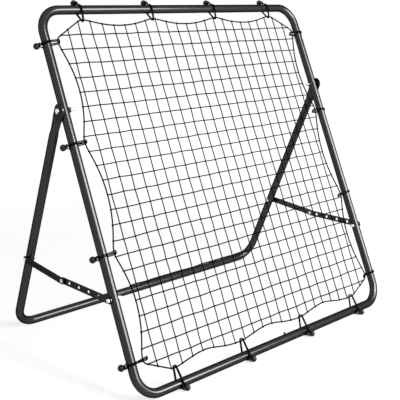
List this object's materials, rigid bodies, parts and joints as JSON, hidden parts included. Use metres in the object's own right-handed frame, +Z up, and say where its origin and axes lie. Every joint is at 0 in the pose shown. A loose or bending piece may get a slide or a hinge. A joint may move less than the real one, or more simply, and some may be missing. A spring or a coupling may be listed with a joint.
{
  "type": "pitch back rebounder",
  "caption": "Square tube frame with a sprung square-mesh net, leaning back on a folding U-shaped stand with jointed side struts.",
  "frame": {"origin": "on the floor under the middle of the frame's bottom rail, which rests there", "axes": "+X to the right as seen from the net's front, +Y from the net towards the rear stand, +Z up"},
  "size_m": [1.0896, 0.6219, 0.9659],
  "materials": {
    "powder_coat": "satin charcoal powder coat",
    "zinc_plate": "bright zinc plate",
    "black_nut": "black oxide",
    "black_nylon": "black nylon",
    "net_twine": "knotted black polyethylene twine",
    "border_cord": "black braided cord",
    "ball_plastic": "moulded black plastic",
    "elastic_cord": "black braided elastic cord"
  },
  "bodies": {
    "frame": {"frame_half_left": "powder_coat", "frame_half_right": "powder_coat", "top_joint_spring": "zinc_plate", "bottom_joint_spring": "zinc_plate", "hinge_bolts": "zinc_plate", "hinge_nuts": "black_nut", "hinge_washers": "black_nylon", "strut_frame_bolts": "zinc_plate", "strut_frame_nuts": "zinc_plate", "strut_frame_spacers": "zinc_plate", "net": "net_twine", "border_rope": "border_cord", "tie_balls": "ball_plastic", "tie_loops": "elastic_cord", "foot_loops": "elastic_cord"},
    "stand": {"stand_half_left": "powder_coat", "stand_half_right": "powder_coat", "base_joint_spring": "zinc_plate", "leg_pivot_bolts": "zinc_plate", "leg_pivot_nuts": "zinc_plate"},
    "front_bar_left": {"strut_front_bar_left": "powder_coat", "knee_bush_left": "zinc_plate"},
    "front_bar_right": {"strut_front_bar_right": "powder_coat", "knee_bush_right": "zinc_plate"},
    "rear_bar_left": {"strut_rear_bar_left": "powder_coat", "knee_rivet_left": "zinc_plate"},
    "rear_bar_right": {"strut_rear_bar_right": "powder_coat", "knee_rivet_right": "zinc_plate"},
    "top_button": {"top_joint_button": "zinc_plate"},
    "bottom_button": {"bottom_joint_button": "zinc_plate"},
    "base_button": {"base_joint_button": "zinc_plate"}
  },
  "joints": [
    {"name": "stand_fold", "type": "hinge", "parent": "frame", "child": "stand", "pos_m": [0, 0.32406, 0.69242], "axis": [-1, 0, 0], "range_deg": [0, 25]},
    {"name": "front_bar_left_turn", "type": "hinge", "parent": "frame", "child": "front_bar_left", "pos_m": [-0.5285, 0.10975, 0.24511], "axis": [-1, 0, 0], "range_deg": [0, 62.49]},
    {"name": "rear_bar_left_turn", "type": "hinge", "parent": "stand", "child": "rear_bar_left", "pos_m": [-0.533, 0.48533, 0.2467], "axis": [1, 0, 0], "range_deg": [0, 82.26]},
    {"name": "front_bar_right_turn", "type": "hinge", "parent": "frame", "child": "front_bar_right", "pos_m": [0.5285, 0.10975, 0.24511], "axis": [-1, 0, 0], "range_deg": [0, 62.49]},
    {"name": "rear_bar_right_turn", "type": "hinge", "parent": "stand", "child": "rear_bar_right", "pos_m": [0.533, 0.48533, 0.2467], "axis": [1, 0, 0], "range_deg": [0, 82.26]},
    {"name": "top_button_press", "type": "slide", "parent": "frame", "child": "top_button", "axis": [0, -0.9018, 0.4321], "range_m": [0, 0.007], "stiffness_N_per_m": 1500},
    {"name": "bottom_button_press", "type": "slide", "parent": "frame", "child": "bottom_button", "axis": [0, -0.4321, -0.9018], "range_m": [0, 0.007], "stiffness_N_per_m": 1500},
    {"name": "base_button_press", "type": "slide", "parent": "stand", "child": "base_button", "axis": [0, -0.9403, -0.3402], "range_m": [0, 0.007], "stiffness_N_per_m": 1500}
  ],
  "couplings": [
    {"joint": "front_bar_left_turn", "follows": "stand_fold", "ratio": 2.4993},
    {"joint": "rear_bar_left_turn", "follows": "stand_fold", "ratio": 3.29},
    {"joint": "front_bar_right_turn", "follows": "stand_fold", "ratio": 2.4993},
    {"joint": "rear_bar_right_turn", "follows": "stand_fold", "ratio": 3.29}
  ]
}
